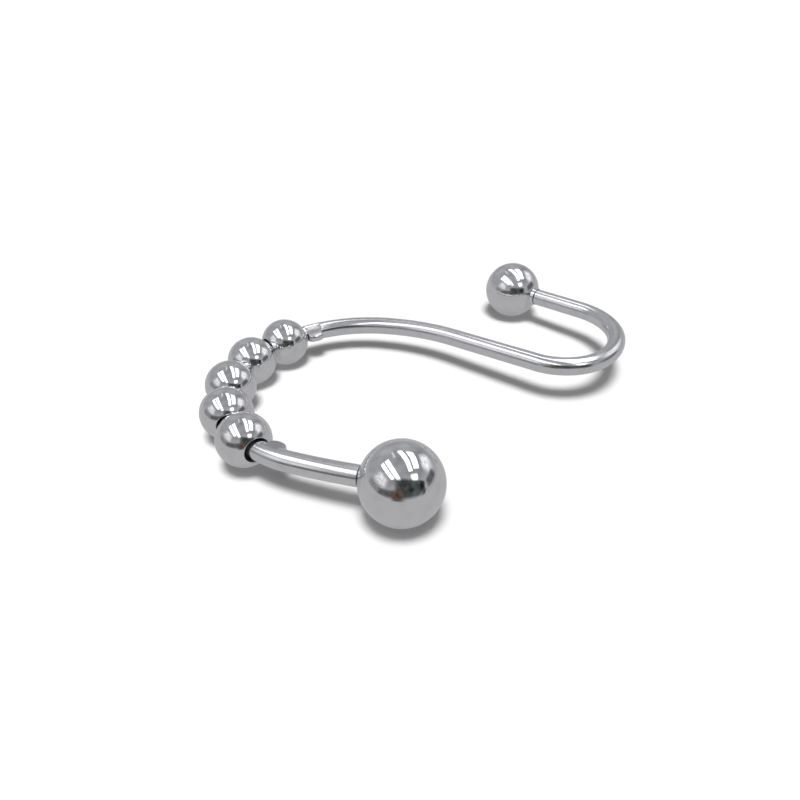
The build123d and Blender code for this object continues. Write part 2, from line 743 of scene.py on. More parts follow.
@dataclass
class HookTrees:
    """The Geometry Nodes trees that sweep the wire and turn the balls.

    Attributes:
        outline_power: Power of the curve that an ear's outline follows: 2 is round, more is squarer.
        end_power: Power of the curve that its ends follow.
        edge_power: Power of the curve that its cross-section follows.
        blend_power: How sharply the wire and an ear meet, as a power.
        thinnest: Least half thickness of an ear, at its very ends.
        dent_slope: How far the rim of a dent beside an ear slopes, as a share of the wire's radius.
        mark_start: Height from which the dies dull the skin, as a share of an ear's half thickness.
        mark_slope: How far that start is spread, in the same measure.
        slit_power: Power of the curve that a slit's depth follows.
        axis_radius: Radius of the circle that a turned piece is swept round, next to nothing.
        merge_distance: How close a turned piece's points are joined.
        wire: The tree that sweeps the wire.
        turning: The tree that turns a piece.
    """

    outline_power: float = 2.8
    end_power: float = 8.0
    edge_power: float = 3.2
    blend_power: float = 30.0
    thinnest: float = 0.01 * MM
    dent_slope: float = 0.5
    mark_start: float = 0.45
    mark_slope: float = 0.3
    slit_power: float = 4.0
    axis_radius: float = 1e-7
    merge_distance: float = 0.002 * MM
    wire: bpy.types.NodeTree = field(init=False)
    turning: bpy.types.NodeTree = field(init=False)

    def __post_init__(self) -> None:
        """Builds both trees."""
        self.wire = self._swept_wire()
        self.turning = self._turned_ball()

    @staticmethod
    def _tree(name: str) -> Trees:
        """Starts an empty Geometry Nodes tree under this name."""
        return Trees(bpy.data.node_groups.new(name, "GeometryNodeTree"))

    @staticmethod
    def _share(along: Signal, first: Signal, second: Signal, length: Signal) -> Signal:
        """How far a point is from the middle of the nearer one of two places on the wire.

        Args:
            along: Distance along the wire.
            first: Where the first place's middle is.
            second: Where the second place's middle is.
            length: The length of either place.

        Returns:
            The distance as a share of half that length, 1 outside both places.
        """
        nearest = abs(along - first).at_most(abs(along - second))
        return (nearest / (length * 0.5)).clamped()

    @staticmethod
    def _fading(share: Signal, power: float, root: float) -> Signal:
        """1 in a place's middle and 0 at its ends, along a curve of this power and root."""
        return (1.0 - share**power) ** root

    @staticmethod
    def _dressed(trees: Trees, geometry: Signal, material: Signal) -> bpy.types.NodeTree:
        """Ends a tree: smooth shading, real geometry and its material.

        Args:
            trees: The tree.
            geometry: The finished shape.
            material: Its material.

        Returns:
            The finished tree.
        """
        smooth = trees.out("GeometryNodeSetShadeSmooth", {"Geometry": geometry, "Shade Smooth": True})
        real = trees.out("GeometryNodeRealizeInstances", {"Geometry": smooth})
        dressed = trees.out("GeometryNodeSetMaterial", {"Geometry": real, "Material": material})
        return trees.give("Geometry", "Geometry", dressed)

    def _ear_reach(
        self, given: dict[str, Signal], along: Signal, cosine: Signal, sine: Signal,
    ) -> tuple[Signal, Signal]:
        """How far the wire's skin reaches, with the pressed ears and the dents beside them.

        Args:
            given: The wire tree's inputs.
            along: Distance along the wire.
            cosine: Cosine of the angle round the wire, from the side that faces the rod.
            sine: Sine of that angle.

        Returns:
            The reach as a share of the wire's radius, and how far the dies have dulled the skin.
        """
        radius = given["Wire Radius"]
        half_thickness = given["Ear Thickness"] * 0.5
        share = self._share(along, given["First Ear"], given["Second Ear"], given["Ear Length"])
        ends = self._fading(share, self.end_power, 1 / self.end_power)
        outline = self._fading(share, self.outline_power, 1 / self.outline_power)
        across = cosine.at_least(0.0) * radius / (given["Ear Height"] * outline + radius)
        crown = abs(sine) * radius
        upward = crown / (half_thickness * ends).at_least(self.thinnest)
        section = across**self.edge_power + upward**self.edge_power
        on_ear = cosine.above(0.0) * share.below(1.0)
        ear = section.at_least(NEARLY_ZERO) ** (-1 / self.edge_power) * on_ear
        rim = ((cosine - given["Dent Start"]) / self.dent_slope).clamped() * ends
        body = 1.0 - rim * (1.0 - (half_thickness / crown).at_most(1.0))
        reach = (body**self.blend_power + ear**self.blend_power) ** (1 / self.blend_power)
        height = reach * crown / half_thickness
        return reach, rim * ((height - self.mark_start) / self.mark_slope).clamped()

    def _swept_wire(self) -> bpy.types.NodeTree:
        """Sweeps a round section along the wire's line and presses its two ears out of it.

        Returns:
            The tree.
        """
        trees = self._tree("swept_wire")
        sizes = (
            "Wire Radius", "Ear Length", "Ear Height", "Ear Thickness", "Dent Start",
            "First Ear", "Second Ear", "Slit Width", "Slit Depth", "First Slit", "Second Slit",
        )
        given = trees.take({
            "Line": "Geometry", "Sides": "Int", **dict.fromkeys(sizes, "Float"), "Material": "Material",
        })
        radius = given["Wire Radius"]
        upright = trees.out("GeometryNodeSetCurveNormal", {"Curve": given["Line"]}, mode="Z_UP")
        capture = trees.node("GeometryNodeCaptureAttribute", domain="POINT")
        trees.feed(capture.inputs["Geometry"], upright)
        for name, kind, source, output in (
            ("Along", "FLOAT", "GeometryNodeSplineParameter", "Length"),
            ("Centre", "VECTOR", "GeometryNodeInputPosition", "Position"),
            ("Sideways", "VECTOR", "GeometryNodeInputNormal", "Normal"),
        ):
            capture.capture_items.new(kind, name)
            trees.feed(capture.inputs[name], trees.out(source, output=output))
        line, along, centre, sideways = (
            Signal(trees, capture.outputs[name]) for name in ("Geometry", "Along", "Centre", "Sideways")
        )
        section = trees.out("GeometryNodeCurvePrimitiveCircle", {
            "Resolution": given["Sides"], "Radius": radius,
        }, mode="RADIUS")
        swept = trees.out("GeometryNodeCurveToMesh", {
            "Curve": line, "Profile Curve": section, "Fill Caps": True,
        })
        spoke = trees.vector("SUBTRACT", trees.out("GeometryNodeInputPosition"), centre)
        rodward = trees.vector("NORMALIZE", trees.scaled(centre, -1.0))
        height = trees.out("ShaderNodeSeparateXYZ", {"Vector": spoke}, "Z")
        reach, die_mark = self._ear_reach(
            given, along, cosine=trees.dot(spoke, rodward) / radius, sine=height / radius,
        )
        in_slit = self._share(along, given["First Slit"], given["Second Slit"], given["Slit Width"])
        sunk = self._fading(in_slit, self.slit_power, 0.5)
        skin = trees.scaled(spoke, reach - sunk * (given["Slit Depth"] / radius))
        lay = trees.out("ShaderNodeCombineXYZ", {"X": along, "Y": trees.dot(spoke, sideways), "Z": height})
        laid = trees.store(swept, "wire_lay", lay, "FLOAT_VECTOR")
        # The slit's sinking is also stored as painted shade, which darkens the slit's colour where shade
        # falls.
        marked = trees.store(trees.store(laid, "recess_painted_shade", sunk), "die_mark", die_mark)
        pressed = trees.out("GeometryNodeSetPosition", {
            "Geometry": marked, "Position": trees.vector("ADD", centre, skin),
        })
        return self._dressed(trees, pressed, given["Material"])

    def _turned_ball(self) -> bpy.types.NodeTree:
        """Turns an outline about its axis, tips the axis along the wire and sets it round the rod.

        Returns:
            The tree.
        """
        trees = self._tree("turned_ball")
        given = trees.take({
            "Outline": "Geometry",
            "Steps": "Int",
            "Out From Rod": "Float",
            "Angle Round Rod": "Float",
            "Painted Shade Reach": "Float",
            "Material": "Material",
        })
        circle = trees.out("GeometryNodeCurvePrimitiveCircle", {
            "Resolution": given["Steps"], "Radius": self.axis_radius,
        }, mode="RADIUS")
        upright = trees.out("GeometryNodeSetCurveNormal", {"Curve": circle}, mode="Z_UP")
        turned = trees.out("GeometryNodeCurveToMesh", {"Curve": upright, "Profile Curve": given["Outline"]})
        closed = trees.out("GeometryNodeMergeByDistance", {
            "Geometry": turned, "Distance": self.merge_distance,
        })
        place = trees.out("GeometryNodeInputPosition")
        x, y = (trees.out("ShaderNodeSeparateXYZ", {"Vector": place}, axis) for axis in "XY")
        off_axis = trees.math("SQRT", x**2.0 + y**2.0)
        # Points nearer the axis than the given reach, which are the rollers' bore walls, are stored as
        # painted shade.
        tipped = trees.out("GeometryNodeTransform", {
            "Geometry": trees.store(closed, "recess_painted_shade", off_axis.below(given["Painted Shade Reach"])),
            "Rotation": (math.pi / 2, 0.0, 0.0),
            "Translation": trees.out("ShaderNodeCombineXYZ", {"X": given["Out From Rod"]}),
        })
        swung = trees.out("GeometryNodeTransform", {
            "Geometry": tipped,
            "Rotation": trees.out("ShaderNodeCombineXYZ", {"Z": given["Angle Round Rod"]}),
        })
        return self._dressed(trees, swung, given["Material"])


@dataclass(frozen=True)
class Workshop:
    """What every sub-assembly needs to make its pieces.

    Attributes:
        trees: The Geometry Nodes trees.
        effects: The shared surface effects.
        placing: The way from the drawing to the frame.
    """

    trees: HookTrees
    effects: SurfaceEffects
    placing: Placing

    @staticmethod
    def line(name: str, points: Sequence[Point2 | Vector], cyclic: bool) -> bpy.types.Object:
        """Makes a curve object of one flat spline.

        Args:
            name: The object's name.
            points: The points that it passes.
            cyclic: Whether its end joins its start.

        Returns:
            The curve object.
        """
        curve = bpy.data.curves.new(name, "CURVE")
        curve.dimensions = "3D"
        spline = curve.splines.new("POLY")
        spline.points.add(len(points) - 1)
        for place, point in zip(spline.points, points):
            place.co = (*point, 0.0, 1.0)
        spline.use_cyclic_u = cyclic
        return added(name, curve)

    @staticmethod
    def piece(
        name: str,
        source: bpy.types.Object,
        tree: bpy.types.NodeTree,
        inputs: dict[str, Value],
        place: Matrix,
    ) -> bpy.types.Object:
        """Runs a Geometry Nodes tree on a curve and keeps the result as a plain mesh piece.

        Args:
            name: The piece's name.
            source: The curve that the tree works on, which is removed.
            tree: The tree.
            inputs: The tree's inputs by name.
            place: Where the mesh goes, from the tree's coordinates to the frame.

        Returns:
            The piece, with its object at the origin.
        """
        modifier = source.modifiers.new(tree.name, "NODES")
        modifier.node_group = tree
        for socket in tree.interface.items_tree:
            if socket.item_type == "SOCKET" and socket.in_out == "INPUT" and socket.name in inputs:
                modifier[socket.identifier] = inputs[socket.name]
        evaluated = source.evaluated_get(bpy.context.evaluated_depsgraph_get())
        mesh = bpy.data.meshes.new_from_object(evaluated)
        source.modifiers.remove(modifier)
        bpy.data.objects.remove(source)
        mesh.name = name
        mesh.transform(place)
        shell = bmesh.new()
        shell.from_mesh(mesh)
        bmesh.ops.recalc_face_normals(shell, faces=shell.faces)
        shell.to_mesh(mesh)
        shell.free()
        mesh.shade_smooth()
        return added(name, mesh)

    @staticmethod
    def dress(piece: bpy.types.Object, body: str, node: str, slot: str) -> None:
        """Puts a piece on its body, in place of its node.

        Args:
            piece: The finished piece.
            body: The body that it moves with.
            node: The node that it stands for.
            slot: The record's material slot, which is not used.
        """
        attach(piece, body)
        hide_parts(node)
        LOG.info("%s: %d faces on %s", piece.name, len(piece.data.polygons), body)


@dataclass
class HookWire:
    """The bent wire with its two pressed ears.

    Attributes:
        workshop: What makes the pieces.
        wire_diameter: Diameter of the wire.
        seat_radius: Radius of the rod seat's arc.
        seat_front: Angle at which the seat starts, by the large ball.
        seat_arc: How far the seat goes round the rod.
        front_radius: Radius of the gentle bend before the large ball.
        front_arc: Turn of that bend.
        shoulder_radius: Radius of the shoulder after the seat.
        shoulder_arc: Turn of the shoulder.
        shank_length: Length of the straight shank.
        lower_radius: Radius of the curtain bend's first part.
        lower_arc: Turn of that part.
        upper_radius: Radius of the curtain bend's second part.
        upper_arc: Turn of that part.
        arm_length: Length of the straight arm up to the small ball.
        socket_depth: How deep the wire's ends sit in their balls.
        small_neck_length: How far the small ball's neck reaches over the wire.
        ear_length: Length of an ear along the wire.
        ear_height: How far an ear stands out of the wire.
        ear_thickness: Thickness of an ear.
        ear_margin: How far the fine spacing goes from an ear's middle, as a share of its length.
        dent_start: Where the dies' dents start beside an ear, from the crown as a share of the radius.
        ear_gap: Play between the end rollers and the ears.
        slit_width: Width of the dark slits where the wire leaves the end balls.
        slit_depth: Depth of those slits.
        slit_margin: How far the fine spacing goes from a slit, in slit widths.
        sides: Faces round the wire.
        spacing: Distance between the wire's sections.
        fine_spacing: Distance between its sections at the ears and slits.
        ear_places: Where the ears' middles are along the wire.
        slit_places: Where the slits' middles are along the wire.
    """

    workshop: Workshop
    wire_diameter: float = 3.0 * MM
    seat_radius: float = 20.0 * MM
    seat_front: float = math.radians(227.4)
    seat_arc: float = math.radians(167.0)
    front_radius: float = 113.0 * MM
    front_arc: float = math.radians(5.1)
    shoulder_radius: float = 32.0 * MM
    shoulder_arc: float = math.radians(26.6)
    shank_length: float = 16.1 * MM
    lower_radius: float = 9.2 * MM
    lower_arc: float = math.radians(75.7)
    upper_radius: float = 11.8 * MM
    upper_arc: float = math.radians(98.2)
    arm_length: float = 9.9 * MM
    socket_depth: float = 4.0 * MM
    small_neck_length: float = 0.45 * MM
    ear_length: float = 3.0 * MM
    ear_height: float = 1.25 * MM
    ear_thickness: float = 1.8 * MM
    ear_margin: float = 0.6
    dent_start: float = 0.05
    ear_gap: float = 0.2 * MM
    slit_width: float = 0.24 * MM
    slit_depth: float = 0.45 * MM
    slit_margin: float = 4.0
    sides: int = 64
    spacing: float = 0.18 * MM
    fine_spacing: float = 0.04 * MM
    ear_places: list[float] = field(default_factory=list)
    slit_places: list[float] = field(default_factory=list)

    def walk(self, roller_angles: Sequence[float], roller_reach: float) -> BendPath:
        """Walks the wire's centre line from the large ball to the small one.

        Args:
            roller_angles: Angle of each roller round the rod seat.
            roller_reach: Half the angle that a roller takes up on the seat.

        Returns:
            The line, with the rod seat centred on the origin.
        """
        path = BendPath(heading=self.seat_front - math.pi / 2 + self.front_arc)
        near_slit = self.slit_margin * self.slit_width
        path.run(self.socket_depth - near_slit, self.spacing)
        path.run(near_slit, self.fine_spacing)
        self.slit_places.append(path.length - self.slit_width / 2)
        path.bend(self.front_radius, -near_slit / self.front_radius, self.fine_spacing)
        path.bend(self.front_radius, near_slit / self.front_radius - self.front_arc, self.spacing)
        seat_centre = path.here - path.left * self.seat_radius
        span = self.ear_length / self.seat_radius
        near_ear = span * self.ear_margin
        angle = self.seat_front
        off_roller = roller_reach + span / 2
        for ear in (roller_angles[0] + off_roller, roller_angles[-1] - off_roller):
            path.bend(self.seat_radius, ear + near_ear - angle, self.spacing)
            self.ear_places.append(path.length + self.seat_radius * near_ear)
            path.bend(self.seat_radius, -2 * near_ear, self.fine_spacing)
            angle = ear - near_ear
        path.bend(self.seat_radius, self.seat_front - self.seat_arc - angle, self.spacing)
        path.bend(self.shoulder_radius, -self.shoulder_arc, self.spacing)
        path.run(self.shank_length, self.spacing)
        path.bend(self.lower_radius, self.lower_arc, self.spacing)
        path.bend(self.upper_radius, self.upper_arc, self.spacing)
        path.run(self.arm_length - 2 * near_slit, self.spacing)
        path.run(2 * near_slit, self.fine_spacing)
        self.slit_places.append(path.length - self.small_neck_length)
        path.run(self.socket_depth, self.spacing)
        path.points = [point - seat_centre for point in path.points]
        return path

    def build(self, path: BendPath) -> bpy.types.Object:
        """Makes the wire's piece.

        Args:
            path: The wire's centre line.

        Returns:
            The piece.
        """
        shop = self.workshop
        source = shop.line("wire_line", path.points, cyclic=False)
        inputs = {
            "Wire Radius": self.wire_diameter / 2,
            "Sides": self.sides,
            "Ear Length": self.ear_length,
            "Ear Height": self.ear_height,
            "Ear Thickness": self.ear_thickness,
            "Dent Start": self.dent_start,
            "First Ear": self.ear_places[0],
            "Second Ear": self.ear_places[1],
            "Slit Width": self.slit_width,
            "Slit Depth": self.slit_depth,
            "First Slit": self.slit_places[0],
            "Second Slit": self.slit_places[1],
            "Material": WIRE_FINISH.material(shop.effects),
        }
        piece = shop.piece("bent_wire", source, shop.trees.wire, inputs, shop.placing.matrix)
        shop.dress(piece, "hook", "hook_wire", "wire")
        return piece


@dataclass
class Rollers:
    """The drilled balls that roll on the rod seat.

    Attributes:
        workshop: What makes the pieces.
        diameter: Diameter of a roller.
        bore_radius: Radius of its bore.
        mouth_rounding: Radius of the bore's rounded mouths.
        painted_shade_depth: How far past the bore's wall the painted shade in the bore reaches.
        steps: Faces round the bore's axis.
        side_steps: Faces from one mouth to the other over the outside.
        mouth_steps: Faces over a mouth's rounding.
        least_step: Shortest stretch of the outline.
    """

    workshop: Workshop
    diameter: float = 8.0 * MM
    bore_radius: float = 1.85 * MM
    mouth_rounding: float = 0.12 * MM
    painted_shade_depth: float = 0.02 * MM
    steps: int = 112
    side_steps: int = 64
    mouth_steps: int = 10
    least_step: float = 0.001 * MM

    def reach(self, gap: float) -> float:
        """Half the angle that a roller takes up on the seat, with its play.

        Args:
            gap: Play between the roller and an ear.

        Returns:
            The angle in radians.
        """
        rim = self.workshop.placing.track_radius() - self.bore_radius
        mouth = math.sqrt((self.diameter / 2) ** 2 - self.bore_radius**2)
        return math.atan(mouth / rim) + gap / rim

    def outline(self) -> list[Point2]:
        """Half the section of a roller, round the ball, over both mouths and through the bore.

        Returns:
            The closed outline's points.
        """
        radius = self.diameter / 2
        lip = self.bore_radius + self.mouth_rounding
        lip_height = math.sqrt((radius - self.mouth_rounding) ** 2 - lip**2)
        opening = math.atan2(lip_height, lip)
        shape = TurnedOutline()
        shape.arc((0.0, 0.0), radius, -opening, opening, self.side_steps)
        shape.arc((lip, lip_height), self.mouth_rounding, opening, math.pi, self.mouth_steps)
        shape.arc((lip, -lip_height), self.mouth_rounding, math.pi, 2 * math.pi - opening, self.mouth_steps)
        apart = shape.points[:1]
        for point in shape.points[1:]:
            if math.dist(point, apart[-1]) > self.least_step:
                apart.append(point)
        return apart[:-1]

    def build(self) -> list[bpy.types.Object]:
        """Makes one piece for each roller.

        Returns:
            The pieces, in order round the seat.
        """
        shop = self.workshop
        placing = shop.placing
        material = ROLLER_FINISH.material(shop.effects)
        outline = self.outline()
        pieces = []
        for index, hinge in enumerate(placing.hinges):
            source = shop.line("roller_outline", outline, cyclic=True)
            # The bore walls get painted shade up to a little past the bore's radius.
            inputs = {
                "Steps": self.steps,
                "Out From Rod": placing.track_radius(),
                "Angle Round Rod": placing.roller_angle(index),
                "Painted Shade Reach": self.bore_radius + self.painted_shade_depth,
                "Material": material,
            }
            name = f"drilled_ball_{index + 1}"
            piece = shop.piece(name, source, shop.trees.turning, inputs, placing.matrix)
            shop.dress(piece, hinge["child"], hinge["child"], "rollers")
            pieces.append(piece)
        return pieces


@dataclass
class EndBall:
    """A solid ball fixed to one end of the wire.

    Attributes:
        workshop: What makes the pieces.
        name: The piece's name.
        node: The node that it stands for.
        finish: The ball's finish.
        diameter: The ball's diameter.
        wire_diameter: Diameter of the wire.
        socket_depth: How deep the wire sits in the ball.
        neck_length: How far the ball's neck reaches over the wire.
        neck_height: How far the neck stands out from the wire.
        seam: Size of the rounded seam round the neck and the socket's mouth.
        play: Gap between the wire and its socket.
        lip: Size of the edge that is left of the socket's mouth.
        lip_depth: How far that edge slopes into the socket.
        steps: Faces round the ball.
        side_steps: Faces from the far pole to the wire.
        seam_steps: Faces over the seam.
    """

    workshop: Workshop
    name: str
    node: str
    finish: PlatedFinish
    diameter: float
    wire_diameter: float
    socket_depth: float
    neck_length: float
    neck_height: float
    seam: float = 0.08 * MM
    play: float = 0.015 * MM
    lip: float = 0.01 * MM
    lip_depth: float = 0.03 * MM
    steps: int = 160
    side_steps: int = 110
    seam_steps: int = 8

    def outline(self) -> list[Point2]:
        """Half the section of the ball, from its far pole to the bottom of its socket.

        Returns:
            The outline's points, with the wire's end at the top.
        """
        radius = self.diameter / 2
        fit = self.wire_diameter / 2 + self.play
        neck = self.wire_diameter / 2 + self.neck_height
        shape = TurnedOutline()
        shape.arc((0.0, 0.0), radius, -math.pi / 2, math.acos((neck + self.seam) / radius), self.side_steps)
        foot = math.sqrt(radius**2 - neck**2)
        start = shape.points.pop()
        if self.neck_length > 0:
            top = radius + self.neck_length
            mouth = (fit + self.lip, top - self.lip)
            shape.corner(start, (neck, foot), (neck, foot + self.seam), self.seam_steps)
            shape.corner((neck, top - self.seam / 2), (neck, top), mouth, self.seam_steps)
        else:
            shape.corner(start, (neck, foot), (fit + self.lip, foot - self.seam), self.seam_steps)
        shape.to(fit, shape.points[-1][1] - self.lip_depth)
        shape.to(fit, radius - self.socket_depth)
        shape.to(0.0, radius - self.socket_depth)
        return shape.points

    def build(self, path: Sequence[Vector]) -> bpy.types.Object:
        """Makes the ball's piece.

        Args:
            path: The wire's centre line, up to its end in this ball.

        Returns:
            The piece.
        """
        shop = self.workshop
        into_ball = (path[-1] - path[-2]).normalized()
        centre = path[-1] + into_ball * (self.diameter / 2 - self.socket_depth)
        turn = math.atan2(-into_ball.y, -into_ball.x) - math.pi / 2
        on_drawing = Matrix.Translation((*centre, 0.0)) @ Matrix.Rotation(turn, 4, "Z")
        source = shop.line(f"{self.name}_outline", self.outline(), cyclic=False)
        inputs = {"Steps": self.steps, "Material": self.finish.material(shop.effects)}
        place = shop.placing.matrix @ on_drawing
        piece = shop.piece(self.name, source, shop.trees.turning, inputs, place)
        shop.dress(piece, "hook", self.node, "end_balls")
        return piece


@dataclass(frozen=True)
class Viewpoint:
    """Where the camera stands.

    Attributes:
        place: The lens's place.
        heading: Direction that it faces in radians, clockwise from +Y as seen from above.
        dip: How far it looks down, in radians.
        tilt: How far it is turned clockwise about its own axis, in radians.
        lens: Focal length in millimetres.
        sensor: Width of the sensor in millimetres.
        shift: How far the picture is slid sideways and upwards, as a share of its width.
        nearest: Distance from which the camera sees.
        farthest: Distance up to which it sees.
    """

    place: Point3 = (-35.17 * MM, -77.87 * MM, 61.97 * MM)
    heading: float = math.radians(22.42)
    dip: float = math.radians(35.68)
    tilt: float = math.radians(-0.72)
    lens: float = 28.44
    sensor: float = 36.0
    shift: Point2 = (-0.0215, -0.0036)
    nearest: float = 1 * MM
    farthest: float = 20.0

    @property
    def turn(self) -> Matrix:
        """The camera's axes in the frame: right, up and back."""
        facing = Matrix.Rotation(-self.heading, 4, "Z") @ Matrix.Rotation(math.pi / 2 - self.dip, 4, "X")
        return facing @ Matrix.Rotation(-self.tilt, 4, "Z")

    @property
    def right(self) -> Vector:
        """Unit vector to the right of the picture."""
        return self.turn.to_3x3().col[0]

    @property
    def up(self) -> Vector:
        """Unit vector to the top of the picture."""
        return self.turn.to_3x3().col[1]

    @property
    def forward(self) -> Vector:
        """Unit vector into the picture."""
        return -self.turn.to_3x3().col[2]

    def beside(self, right: float, up: float, forward: float = 0.0) -> Vector:
        """The place that lies this far to the right of the lens, above it and in front of it."""
        return Vector(self.place) + self.right * right + self.up * up + self.forward * forward

    def build(self) -> None:
        """Makes the camera and gives it to the scene."""
        camera = bpy.data.cameras.new("camera")
        camera.sensor_width = self.sensor
        camera.lens = self.lens
        camera.shift_x, camera.shift_y = self.shift
        camera.clip_start = self.nearest
        camera.clip_end = self.farthest
        made = added("camera", camera)
        made.matrix_world = Matrix.Translation(self.place) @ self.turn
        bpy.context.scene.camera = made


def stand(name: str, shape: bmesh.types.BMesh, material: bpy.types.Material, mirrored_only: bool) -> None:
    """Stands one part of the studio in the scene.

    Args:
        name: The part's name.
        shape: Its shape, which is used up.
        material: Its material.
        mirrored_only: Whether only the polished metal sees it.
    """
    mesh = bpy.data.meshes.new(name)
    shape.to_mesh(mesh)
    shape.free()
    mesh.materials.append(material)
    made = added(name, mesh)
    if mirrored_only:
        made.visible_camera = False
        made.visible_diffuse = False
        made.visible_shadow = False


@dataclass(frozen=True)
class Panel:
    """A flat panel that the polished metal mirrors.

    Attributes:
        name: The panel's name.
        corner: One corner.
        along: Its first edge, as a vector from the corner.
        across: Its second edge, as a vector from the corner.
        glow: Brightness of its middle.
        tint: Its colour.
        soft: Share of each side over which it fades out.
        patchy: How far its brightness strays from even, as a share.
        patches: How many of its patches fit in a metre.
        contrast: Range of their noise that is spread from the dimmest to the brightest.
    """

    name: str
    corner: Point3 | Vector
    along: Point3 | Vector
    across: Point3 | Vector
    glow: float
    tint: Colour = (1.0, 1.0, 1.0)
    soft: Point2 = (0.06, 0.06)
    patchy: float = 0.25
    patches: float = 26.0
    contrast: Point2 = (0.35, 0.65)

    def _material(self) -> bpy.types.Material:
        """Its light, which fades out towards its sides.

        Returns:
            The material.
        """
        made = bpy.data.materials.new(self.name)
        trees = Trees.of(made)
        inside = []
        for axis, soft in zip("XY", self.soft):
            place = trees.out("ShaderNodeUVMap", uv_map="panel")
            share = trees.out("ShaderNodeSeparateXYZ", {"Vector": place}, axis)
            inside.append(trees.spread(share.at_most(1.0 - share), (0.0, soft), smooth=True))
        noise = trees.noise(trees.out("ShaderNodeTexCoord", output="Object"), self.patches, detail=2.0)
        strength = trees.spread(noise, self.contrast, (
            self.glow * (1 - self.patchy), self.glow * (1 + self.patchy),
        ))
        light = trees.out("ShaderNodeEmission", {"Color": (*self.tint, 1.0), "Strength": strength})
        clear = trees.out("ShaderNodeBsdfTransparent")
        mixed = trees.shade(inside[0] * inside[1], clear, light)
        trees.node("ShaderNodeOutputMaterial", {"Surface": mixed})
        return made

    def build(self) -> None:
        """Hangs the panel where only the polished metal sees it."""
        start, along, across = Vector(self.corner), Vector(self.along), Vector(self.across)
        sheet = bmesh.new()
        layer = sheet.loops.layers.uv.new("panel")
        corners = ((0, 0), (1, 0), (1, 1), (0, 1))
        face = sheet.faces.new([sheet.verts.new(start + along * u + across * v) for u, v in corners])
        for loop, corner in zip(face.loops, corners):
            loop[layer].uv = corner
        stand(self.name, sheet, self._material(), mirrored_only=True)


